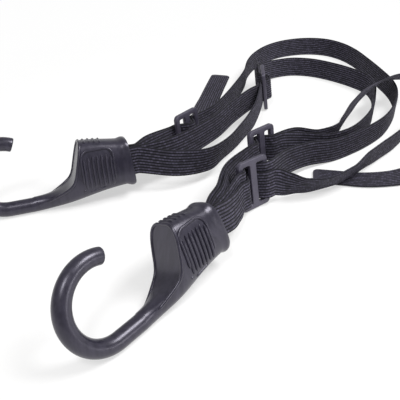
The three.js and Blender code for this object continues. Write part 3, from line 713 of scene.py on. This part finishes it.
def strap_piece(name, sections, offset, sealed, replaced):
    """One piece of strap. offset is how far the strap has run before it, so that its weave runs on."""
    mesh = bmesh.new()
    weave_map = mesh.loops.layers.uv.new("weave")
    seal = mesh.verts.layers.float.new("sealed")
    if sealed:
        sections = sealed_end(sections)
    total = run_length(sections)
    loops, weave_places, seals = [], [], []
    run = 0
    before = sections[0][0]
    for middle, across, face in sections:
        run += (middle - before).length
        before = middle
        half_width = STRAP_WIDTH / 2
        half_thickness = STRAP_THICKNESS / 2
        relief = 1
        melted = 0
        if sealed:
            left = total - run
            inset = SEAL_CORNER - min(left, SEAL_CORNER)
            half_width += math.sqrt(SEAL_CORNER**2 - inset**2) - SEAL_CORNER
            half_thickness *= mix(SEAL_THICKNESS_SHARE, 1, ease(left, 0, SEAL_LENGTH))
            relief = ease(left, SEAL_LENGTH * 0.5, SEAL_LENGTH * 1.2)
            melted = 1 - ease(left, SEAL_LENGTH * 0.6, SEAL_LENGTH * 1.1)
        outline = strap_outline(half_width, half_thickness, relief)
        loops.append([middle + across * a + face * f for a, f in outline])
        woven = STRAP_WIDTH - 2 * EDGE_ROLL
        weave_places.append([((offset + run) / STRAP_WIDTH, a / woven + 0.5) for a, f in outline])
        seals.append(melted)
    rows = skin(mesh, loops)
    place_of = {}
    for row, places, melted in zip(rows, weave_places, seals):
        for corner, place in zip(row, places):
            place_of[corner] = place
            corner[seal] = melted
    for face in mesh.faces:
        for loop in face.loops:
            loop[weave_map].uv = place_of[loop.vert]
    bmesh.ops.recalc_face_normals(mesh, faces=mesh.faces)
    piece = new_piece(name, mesh, strap_black, STRAP_SMOOTH_ANGLE)
    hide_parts(replaced)
    return piece


def strap_end(hook, slider, pin_side, tail_layer, tail_points, main_points):
    """One end of a strap at a hook: tail layer in, loop round the pin, main layer out."""
    tail_weave = weave(slider, tail_layer)
    main_weave = weave(slider, -tail_layer)
    loop = pin_loop(hook, pin_side, tail_layer)
    tail_run = free_stretch(loop[0], -along_start(loop), tail_points, tail_weave[0], along_start(tail_weave))
    main_run = free_stretch(loop[-1], along_end(loop), main_points, main_weave[0], along_start(main_weave))
    into_hook = (tail_run + tail_weave)[::-1]
    return dict(tail=tail_weave, main=main_weave, stations=chain(into_hook, loop, main_run, main_weave))


def tail_stretch(end, points):
    return free_stretch(end["tail"][-1], along_end(end["tail"]), points)


def main_stretch(end_a, end_b, points):
    a, b = end_a["main"], end_b["main"]
    return free_stretch(a[-1], along_end(a), points, b[-1], -along_end(b))


def placed_slider(place, spread=0):
    return dict(frame=slider_frame(place), over_side=place["over_side"], shift={-1: -spread, 1: spread})


hook_a = dict(frame=hook_frame(HOOK_A_PLACE), gather=HOOK_A_PLACE["gather"])
hook_b = dict(frame=hook_frame(HOOK_B_PLACE), gather=HOOK_B_PLACE["gather"])
slider_1 = placed_slider(SLIDER_1_PLACE)
slider_2 = placed_slider(SLIDER_2_PLACE)
slider_3 = placed_slider(SLIDER_3_PLACE)
slider_4 = placed_slider(SLIDER_4_PLACE, SLIDER_SLOT_PLAY / 2 - SLOT_CORNER)

outer_a = strap_end(hook_a, slider_1, 1, 1, OUTER_PAIR_A_TAIL_POINTS, OUTER_PAIR_A_MAIN_POINTS)
inner_a = strap_end(hook_a, slider_2, -1, 1, INNER_PAIR_A_TAIL_POINTS, INNER_PAIR_A_MAIN_POINTS)
outer_b = strap_end(hook_b, slider_4, -1, -1, OUTER_PAIR_B_TAIL_POINTS, OUTER_PAIR_B_MAIN_POINTS)
inner_b = strap_end(hook_b, slider_3, 1, 1, INNER_PAIR_B_TAIL_POINTS, INNER_PAIR_B_MAIN_POINTS)

# How the straps are cut into pieces: each doubled end is one piece between hook and slider, a short lead
# runs on past each slider, and each long run is cut into two halves that meet where it lies farthest along
# X.
LEAD_LENGTH = 0.0215


def past_slider(piece):
    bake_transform(piece)


def end_piece(node, stations, sealed):
    piece = strap_piece(f"{node}_elastic", squared(stations), 0, sealed, node)
    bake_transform(piece)


def main_pieces(strap, stations):
    """The main run of a strap: a lead past each slider, and two halves that meet at the far right."""
    node = f"{strap}_strap_main"
    whole = squared(stations)
    lead_a, rest = cut_after(whole, LEAD_LENGTH)
    back_b, rest = cut_after(rest[::-1], LEAD_LENGTH)
    lead_b, rest = back_b[::-1], rest[::-1]
    half_a, half_b = cut_farthest(rest)
    lead_a_piece = strap_piece(f"{strap}_strap_main_lead_a", lead_a, 0, False, node)
    run = run_length(lead_a)
    half_a_piece = strap_piece(f"{strap}_strap_main_half_a", half_a, run, False, node)
    run += run_length(half_a)
    half_b_piece = strap_piece(f"{strap}_strap_main_half_b", half_b, run, False, node)
    run += run_length(half_b)
    lead_b_piece = strap_piece(f"{strap}_strap_main_lead_b", lead_b, run, False, node)
    past_slider(lead_a_piece)
    past_slider(lead_b_piece)
    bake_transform(half_a_piece)
    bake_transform(half_b_piece)


def tail_at_b(strap, stations):
    node = f"{strap}_strap_tail_b"
    lead, rest = cut_after(squared(stations), LEAD_LENGTH)
    lead_piece = strap_piece(f"{strap}_strap_tail_b_lead", lead, 0, False, node)
    rest_piece = strap_piece(f"{strap}_strap_tail_b_end", rest, run_length(lead), True, node)
    past_slider(lead_piece)
    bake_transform(rest_piece)


end_piece("outer_strap_end_a", outer_a["stations"], False)
inner_end_a = chain(tail_stretch(inner_a, INNER_TAIL_A_POINTS)[::-1], inner_a["stations"])[::-1]
end_piece("inner_strap_end_a", inner_end_a, True)
end_piece("outer_strap_end_b", outer_b["stations"], False)
end_piece("inner_strap_end_b", inner_b["stations"], False)

outer_main = main_stretch(outer_a, outer_b, OUTER_MAIN_POINTS)
inner_main = main_stretch(inner_a, inner_b, INNER_MAIN_POINTS)
main_pieces("outer", outer_main)
main_pieces("inner", inner_main)
tail_at_b("outer", tail_stretch(outer_b, OUTER_TAIL_B_POINTS))
tail_at_b("inner", tail_stretch(inner_b, INNER_TAIL_B_POINTS))

outer_tail_a = squared(tail_stretch(outer_a, OUTER_TAIL_A_POINTS))
outer_tail_a_piece = strap_piece("outer_strap_tail_a_elastic", outer_tail_a, 0, True, "outer_strap_tail_a")
past_slider(outer_tail_a_piece)


# Sliders: a flat plate with two slots, its corners and edges rounded
def slider_piece(number, slider):
    half_length = SLIDER_BAR_PITCH + SLIDER_END_BAR / 2
    slot_outer = SLIDER_BAR_PITCH - SLIDER_END_BAR / 2
    slot_inner = SLIDER_CENTRE_BAR / 2
    columns = (-half_length, -slot_outer, -slot_inner, slot_inner, slot_outer, half_length)
    rows = (-slider_height / 2, -slot_length / 2, slot_length / 2, slider_height / 2)
    across, along = len(columns) - 1, len(rows) - 1
    mesh = bmesh.new()
    bmesh.ops.create_grid(mesh, x_segments=across, y_segments=along, size=0.5)
    for corner in mesh.verts:
        column = round((corner.co.x + 0.5) * across)
        row = round((corner.co.y + 0.5) * along)
        corner.co = (columns[column], -SLIDER_THICKNESS / 2, rows[row])
    slots = []
    for face in mesh.faces:
        middle = face.calc_center_median()
        if abs(middle.z) < slot_length / 2 and slot_inner < abs(middle.x) < slot_outer:
            slots.append(face)
    bmesh.ops.delete(mesh, geom=slots, context="FACES_ONLY")
    raised = bmesh.ops.extrude_face_region(mesh, geom=mesh.faces[:])["geom"]
    top = [v for v in raised if isinstance(v, bmesh.types.BMVert)]
    bmesh.ops.translate(mesh, verts=top, vec=(0, SLIDER_THICKNESS, 0))
    bmesh.ops.recalc_face_normals(mesh, faces=mesh.faces)

    def upright(edge):
        way = edge.verts[1].co - edge.verts[0].co
        return abs(way.y) > SLIDER_THICKNESS / 2

    def at(edge, axis, distance):
        return math.isclose(abs(edge.verts[0].co[axis]), distance, abs_tol=1e-6)

    def sharp(edge):
        return edge.calc_face_angle(0) > 1

    def bevel(edges, offset, segments):
        bmesh.ops.bevel(
            mesh, geom=edges, offset=offset, segments=segments, profile=0.5, affect="EDGES", material=-1,
        )

    x, z = 0, 2
    outer = [e for e in mesh.edges if upright(e) and at(e, x, half_length) and at(e, z, slider_height / 2)]
    bevel(outer, min(SLIDER_CORNER, SLIDER_RAIL * SLIDER_CORNER_RAIL_SHARE), segments=6)
    inner = [e for e in mesh.edges if upright(e) and at(e, z, slot_length / 2) and sharp(e)]
    bevel(inner, SLOT_CORNER, segments=4)
    rim = [e for e in mesh.edges if not upright(e) and sharp(e)]
    bevel(rim, SLIDER_EDGE, segments=3)
    bmesh.ops.transform(mesh, matrix=slider["frame"], verts=mesh.verts)
    piece = new_piece(f"slider_{number}_moulding", mesh, slider_black, PLASTIC_SMOOTH_ANGLE)
    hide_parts(f"slider_{number}")
    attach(piece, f"slider_{number}")


for number, slider in enumerate((slider_1, slider_2, slider_3, slider_4), 1):
    slider_piece(number, slider)


# Hook: outline of the body as functions of the distance u along the pull line from the ring's centre
CROWN_TURNS = 16
LOWER_TURNS = 36
ROUND_CORNER = math.radians(40)
MOUTH_CORNER = math.radians(45)
TIP_STEPS = 4
RING_STEPS = 48
NECK_STEPS = 6
SHANK_STEPS = 22
BODY_STEPS = 14
FACE_SHARES = (0.08, 0.16, 0.25, 0.34, 0.43, 0.52, 0.61, 0.7, 0.78, 0.85, 0.91, 0.955, 0.985)
ARCH_STEPS = 10
RIB_STEPS = 14
CROWN_RIB_STEPS = 8
EDGE_BEAD_STEPS = 10


def underside_at(u):
    return mix(ring_bottom, mouth_bottom, ease(u, SHANK_START, MOUTH_DISTANCE))


def crown_at(u):
    rise = ease(u, SHANK_START, FACE_FOOT_DISTANCE)
    fall = ease(u, FACE_DISTANCE, MOUTH_DISTANCE)
    return mix(rod_radius - RING_RADIUS, mix(FACE_RISE, mouth_top, fall), rise)


def swell_at(u):
    return ease(u, SWELL_START, SWELL_END)


def half_width_at(u):
    return mix(rod_radius, body_half_width, swell_at(u))


def squareness_at(u):
    return mix(ROD_SQUARENESS, BODY_SQUARENESS, swell_at(u))


def slant_at(u):
    return MOUTH_SLANT * ease(u, GRIP_CENTRE_DISTANCE, MOUTH_DISTANCE)


def side_at(u, rise):
    middle = (crown_at(u) + underside_at(u)) / 2
    up = abs(rise - middle) / (crown_at(u) - middle)
    return half_width_at(u) * (1 - up ** squareness_at(u)) ** (1 / squareness_at(u))


def shank_top_at(u):
    """The height of the shank's inner edge, which curls up into the foot of the thumb face."""
    rod_top = rod_radius - RING_RADIUS + FIT_GAP
    flat_end = SHANK_START + SHANK_FLAT_LENGTH
    us = (SHANK_START, flat_end, FACE_FOOT_DISTANCE - FACE_CURL_BACK, FACE_FOOT_DISTANCE)
    rises = (rod_top, rod_top + SHANK_FLAT_RISE, FACE_FOOT_RISE - FACE_CURL_DROP, FACE_FOOT_RISE)

    def bend(ends, share):
        a, b, c, d = ends
        rest = 1 - share
        return a * rest**3 + 3 * b * rest**2 * share + 3 * c * rest * share**2 + d * share**3

    low, high = 0.0, 1.0
    halvings = 30
    for k in range(halvings):
        half = (low + high) / 2
        if bend(us, half) < u:
            low = half
        else:
            high = half
    return bend(rises, low)


def section_turns(corner):
    """Turns round a section: over the crown between two corners, then back underneath."""
    over = [mix(corner, math.pi - corner, k / CROWN_TURNS) for k in range(CROWN_TURNS + 1)]
    under = [mix(math.pi - corner, 2 * math.pi + corner, k / LOWER_TURNS) for k in range(1, LOWER_TURNS)]
    return over + under


def rod_section(angle, radius):
    away = Vector((math.cos(angle), 0, math.sin(angle)))
    across = Vector((0, -1, 0))
    return [
        away * (RING_RADIUS - math.sin(turn) * radius) + across * math.cos(turn) * radius
        for turn in section_turns(ROUND_CORNER)
    ]


def cut_corner(u, height):
    """The turn at which a section of the body reaches the given height."""
    middle = (crown_at(u) + underside_at(u)) / 2
    up = (height - middle) / (crown_at(u) - middle)
    return math.copysign(math.asin(min(abs(up), 1) ** (squareness_at(u) / 2)), up)


def body_section(u, proud, corner):
    top, bottom = crown_at(u) + proud, underside_at(u) - proud * COLLAR_FOOT_SHARE
    half_width = half_width_at(u) + proud * COLLAR_SIDE_SHARE
    power = 2 / squareness_at(u)
    points = []
    for turn in section_turns(corner):
        out = math.copysign(abs(math.cos(turn)) ** power, math.cos(turn))
        up = math.copysign(abs(math.sin(turn)) ** power, math.sin(turn))
        height = (top + bottom) / 2 + up * (top - bottom) / 2
        points.append(Vector((u - up * slant_at(u) / 2, -out * half_width, height)))
    return points


def topped_section(u, edge, dome):
    """A section of the body cut off at a height, with a low dome over the cut."""
    points = body_section(u, 0, cut_corner(u, edge))
    half_width = points[0].y
    for k in range(CROWN_TURNS + 1):
        turn = math.pi * k / CROWN_TURNS
        points[k] = Vector((u, half_width * math.cos(turn), edge + dome * math.sin(turn)))
    return points


def socket_section(u, flare, slant):
    points = []
    for turn in section_turns(MOUTH_CORNER):
        out, up = math.cos(turn), math.sin(turn)
        reach = 1 / max(abs(out), abs(up))
        side = -out * reach * (socket_half_width + flare)
        height = up * reach * (socket_half_height + flare) - PULL_LINE_DROP
        points.append(Vector((u - up * slant / 2, side, height)))
    return points


def ring_loops():
    """From the rounded tip round the ring to the shank, which starts under the ring's centre."""
    loops = []
    tip = math.radians(TIP_ANGLE)
    for k in range(TIP_STEPS + 1):
        turn = math.pi / 2 * k / TIP_STEPS
        radius = TIP_DIAMETER / 2 - TIP_ROUND * (1 - math.sin(turn))
        loops.append(rod_section(tip + TIP_ROUND * (1 - math.cos(turn)) / RING_RADIUS, radius))
    for k in range(1, RING_STEPS + 1):
        share = k / RING_STEPS
        angle = mix(tip + TIP_ROUND / RING_RADIUS, math.radians(270), share)
        loops.append(rod_section(angle, mix(TIP_DIAMETER, ROD_DIAMETER, min(1, share * 2)) / 2))
    return loops


def shank_loops():
    """From the ring to the foot of the thumb face, where the round rod grows flat on top."""
    loops = []
    for k in range(1, NECK_STEPS + 1):
        share = k / NECK_STEPS
        loops.append(body_section(SHANK_START * share, 0, mix(ROUND_CORNER, 0, share)))
    for k in range(1, SHANK_STEPS + 1):
        u = mix(SHANK_START, FACE_FOOT_DISTANCE, k / SHANK_STEPS)
        dome = rod_radius * (1 - ease(u, SHANK_START, FACE_FOOT_DISTANCE - rod_radius))
        loops.append(topped_section(u, shank_top_at(u) - dome, dome))
    return loops


def face_place(share):
    """Distance and height of the leaning thumb face at a share of its height."""
    height = mix(FACE_FOOT_RISE, FACE_RISE, share)
    slope = (FACE_DISTANCE - FACE_FOOT_DISTANCE) / (FACE_RISE - FACE_FOOT_RISE)
    return FACE_FOOT_DISTANCE + slope * (height - FACE_FOOT_RISE), height


def face_loops():
    return [topped_section(*face_place(share), 0) for share in FACE_SHARES]


def body_loops():
    """From the top of the thumb face over the grip, and the collar up to the mouth."""
    loops = []
    face_corner = cut_corner(*face_place(FACE_SHARES[-1]))
    collar_start = MOUTH_DISTANCE - COLLAR_LENGTH
    for k in range(BODY_STEPS + 1):
        u = mix(FACE_DISTANCE + FIT_GAP, collar_start, k / BODY_STEPS)
        loops.append(body_section(u, 0, mix(face_corner, MOUTH_CORNER, ease(k, 0, BODY_STEPS / 2))))
    for forward, proud in COLLAR_PROFILE:
        loops.append(body_section(collar_start + forward, proud * COLLAR_STEP, MOUTH_CORNER))
    return loops


def socket_loops():
    """In at the mouth and on to the socket's floor."""
    return [
        socket_section(MOUTH_DISTANCE, FIT_GAP, MOUTH_SLANT),
        socket_section(MOUTH_DISTANCE - FIT_GAP, 0, MOUTH_SLANT),
        socket_section(MOUTH_DISTANCE - SOCKET_DEPTH / 2, 0, 0),
        socket_section(socket_floor, 0, 0),
    ]


def bead(mesh, points, radius, outward):
    """A round bead along points, with drawn-in ends."""
    loops = []
    last = len(points) - 1
    for i, p in enumerate(points):
        along = (points[min(i + 1, last)] - points[max(i - 1, 0)]).normalized()
        across = along.cross(outward).normalized()
        above = across.cross(along)
        size = radius * (BEAD_END_SHARE if i in (0, last) else 1)
        loop = []
        for k in range(BEAD_SIDES):
            turn = 2 * math.pi * k / BEAD_SIDES
            loop.append(p + above * math.sin(turn) * size + across * math.cos(turn) * size)
        loops.append(loop)
    skin(mesh, loops)


def grip_beads(mesh, side):
    outward = Vector((0, side, 0))
    springing = GRIP_TOP_RISE - GRIP_ARCH_CORNER
    flat_half = GRIP_ARCH_HALF_WIDTH - GRIP_ARCH_CORNER

    def on_side(u, rise, radius):
        return Vector((u, side * (side_at(u, rise) + GRIP_RIB_PROUD - radius), rise))

    half_arch = []
    for k in range(ARCH_STEPS):
        half_arch.append((GRIP_ARCH_HALF_WIDTH, mix(-GRIP_ARCH_FOOT_DROP, springing, k / ARCH_STEPS)))
    for k in range(ARCH_STEPS + 1):
        turn = math.pi / 2 * k / ARCH_STEPS
        off = flat_half + math.cos(turn) * GRIP_ARCH_CORNER
        half_arch.append((off, springing + math.sin(turn) * GRIP_ARCH_CORNER))
    half_arch.append((flat_half / 2, GRIP_TOP_RISE))
    whole = [(-off, rise) for off, rise in half_arch] + half_arch[::-1]
    arch = [on_side(GRIP_CENTRE_DISTANCE + off, rise, GRIP_ARCH_RADIUS) for off, rise in whole]
    bead(mesh, arch, GRIP_ARCH_RADIUS, outward)
    for i in range(GRIP_RIB_COUNT):
        off = (i - (GRIP_RIB_COUNT - 1) / 2) * GRIP_RIB_PITCH
        past = max(abs(off) - flat_half, 0)
        top = springing + math.sqrt(GRIP_ARCH_CORNER**2 - past**2) - GRIP_RIB_INSET
        u = GRIP_CENTRE_DISTANCE + off
        rises = [mix(-GRIP_BOTTOM_DROP, top, k / RIB_STEPS) for k in range(RIB_STEPS + 1)]
        bead(mesh, [on_side(u, rise, GRIP_RIB_RADIUS) for rise in rises], GRIP_RIB_RADIUS, outward)


def crown_ribs(mesh):
    for i in range(CROWN_RIB_COUNT):
        u = CROWN_RIB_START + i * CROWN_RIB_PITCH
        height = crown_at(u) + CROWN_RIB_PROUD - GRIP_RIB_RADIUS
        places = [mix(-0.5, 0.5, k / CROWN_RIB_STEPS) * CROWN_RIB_LENGTH for k in range(CROWN_RIB_STEPS + 1)]
        bead(mesh, [Vector((u, y, height)) for y in places], GRIP_RIB_RADIUS, Vector((0, 0, 1)))


def face_rim(mesh, near_edge):
    """A raised rim round the thumb face: up its near edge, over the top and down the far edge."""
    inward = Vector((0.5, 0, -0.5)) * FACE_RIM_SINK
    outward = Vector((-0.6, 0, 0.8))
    far_edge = [Vector((p.x, -p.y, p.z)) for p in reversed(near_edge)]
    bead(mesh, [p + inward for p in near_edge + far_edge], FACE_RIM_RADIUS, outward)


def edge_marks(mesh, side):
    """The short bead along the lower edge of a side, and the mark of the moulding gate before it."""
    outward = Vector((0, side, 0))

    def near_edge(u, rise, radius):
        height = underside_at(u) + rise
        return Vector((u, side * (side_at(u, height) + GRIP_RIB_PROUD / 2 - radius), height))

    us = [mix(EDGE_BEAD_START, EDGE_BEAD_END, k / EDGE_BEAD_STEPS) for k in range(EDGE_BEAD_STEPS + 1)]
    bead(mesh, [near_edge(u, EDGE_BEAD_RISE, EDGE_BEAD_RADIUS) for u in us], EDGE_BEAD_RADIUS, outward)
    us = [GATE_MARK_DISTANCE + k * GATE_MARK_RADIUS / 2 for k in range(-2, 3)]
    bead(mesh, [near_edge(u, GATE_MARK_RISE, GATE_MARK_RADIUS) for u in us], GATE_MARK_RADIUS, outward)


def hook_piece(letter, place, body):
    mesh = bmesh.new()
    shank, face = shank_loops(), face_loops()
    skin(mesh, ring_loops() + shank + face + body_loops() + socket_loops())
    face_rim(mesh, [loop[0] for loop in shank + face if loop[0].x > FACE_RIM_START])
    for side in (-1, 1):
        grip_beads(mesh, side)
        edge_marks(mesh, side)
    crown_ribs(mesh)
    bmesh.ops.recalc_face_normals(mesh, faces=mesh.faces)
    bmesh.ops.transform(mesh, matrix=hook_frame(place), verts=mesh.verts)
    piece = new_piece(f"hook_{letter}_moulding", mesh, hook_black, PLASTIC_SMOOTH_ANGLE)
    rounding = piece.modifiers.new("edges", "BEVEL")
    rounding.limit_method = "ANGLE"
    rounding.angle_limit = math.radians(PLASTIC_SMOOTH_ANGLE)
    rounding.width = HOOK_EDGE
    rounding.segments = 3
    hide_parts(f"hook_{letter}")
    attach(piece, body)


hook_piece("a", HOOK_A_PLACE, "end_a")
hook_piece("b", HOOK_B_PLACE, "end_b")

for node in ("strap_pin_a_far", "strap_pin_a_near", "strap_pin_b_far", "strap_pin_b_near"):
    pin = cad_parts[node]
    pin.data.materials.clear()
    pin.data.materials.append(pin_steel)


# Table, light and background: the table's shadow shows near the object, and far off it is plain white
OBJECT_MIDDLE = (0.081, 0.071, 0)
SHADOW_RADIUS = 0.1
WHITE_RADIUS = 0.32
TABLE_HALF_SIZE = 3


def table_white():
    material, nodes, links, shader = new_material("table_white")
    place = nodes.new("ShaderNodeTexCoord")
    cloud = add_node(nodes, "ShaderNodeTexNoise", Scale=9.0, Detail=3.0)
    links.new(place.outputs["Object"], cloud.inputs["Vector"])
    tone = colour_ramp(nodes, 0.2, 0.8, (0.92, 0.915, 0.91), (0.95, 0.945, 0.94))
    links.new(cloud.outputs["Fac"], tone.inputs["Fac"])
    links.new(tone.outputs["Color"], shader.inputs["Base Color"])
    shader.inputs["Roughness"].default_value = 0.8
    shader.inputs["Specular IOR Level"].default_value = 0.1
    glow = nodes.new("ShaderNodeEmission")
    ray = nodes.new("ShaderNodeLightPath")
    seen = nodes.new("ShaderNodeMath")
    seen.operation = "ADD"
    links.new(ray.outputs["Is Camera Ray"], seen.inputs[0])
    links.new(ray.outputs["Is Glossy Ray"], seen.inputs[1])
    away = nodes.new("ShaderNodeVectorMath")
    away.operation = "DISTANCE"
    away.inputs[1].default_value = OBJECT_MIDDLE
    links.new(place.outputs["Object"], away.inputs[0])
    bright = add_node(
        nodes, "ShaderNodeMapRange", From_Min=SHADOW_RADIUS, From_Max=WHITE_RADIUS, To_Min=0.52, To_Max=0.95,
    )
    links.new(away.outputs["Value"], bright.inputs["Value"])
    share = nodes.new("ShaderNodeMath")
    share.operation = "MULTIPLY"
    share.use_clamp = True
    links.new(seen.outputs["Value"], share.inputs[0])
    links.new(bright.outputs["Result"], share.inputs[1])
    both = nodes.new("ShaderNodeMixShader")
    links.new(share.outputs["Value"], both.inputs["Fac"])
    links.new(shader.outputs["BSDF"], both.inputs[1])
    links.new(glow.outputs["Emission"], both.inputs[2])
    links.new(both.outputs["Shader"], nodes["Material Output"].inputs["Surface"])
    return material


table_mesh = bmesh.new()
bmesh.ops.create_grid(table_mesh, x_segments=1, y_segments=1, size=TABLE_HALF_SIZE)
table_data = bpy.data.meshes.new("table")
table_mesh.to_mesh(table_data)
table_mesh.free()
table_data.materials.append(table_white())
table = bpy.data.objects.new("table", table_data)
scene.collection.objects.link(table)

world = bpy.data.worlds.new("studio")
scene.world = world
world.use_nodes = True
sky_nodes, sky_links = world.node_tree.nodes, world.node_tree.links
sky = sky_nodes["Background"]
sky.inputs["Color"].default_value = (1, 1, 1, 1)
sky_ray = sky_nodes.new("ShaderNodeLightPath")
sky_level = add_node(sky_nodes, "ShaderNodeMapRange", To_Min=0.44, To_Max=1.0)
sky_links.new(sky_ray.outputs["Is Camera Ray"], sky_level.inputs["Value"])
sky_links.new(sky_level.outputs["Result"], sky.inputs["Strength"])


def soft_lamp(name, place, aim, size, power):
    data = bpy.data.lights.new(name, "AREA")
    data.shape = "DISK"
    data.size = size
    data.energy = power
    lamp = bpy.data.objects.new(name, data)
    lamp.location = place
    lamp.rotation_euler = (Vector(aim) - Vector(place)).to_track_quat("-Z", "Y").to_euler()
    scene.collection.objects.link(lamp)


soft_lamp("key_lamp", place=(0.5, 0.08, 0.72), aim=(0.07, 0.07, 0), size=0.36, power=5.4)
soft_lamp("fill_lamp", place=(-0.1, -0.4, 0.75), aim=(0.05, 0.05, 0), size=0.22, power=2.4)
soft_lamp("side_lamp", place=(0.88, -0.32, 0.22), aim=(0.05, 0, 0.02), size=0.2, power=1.0)
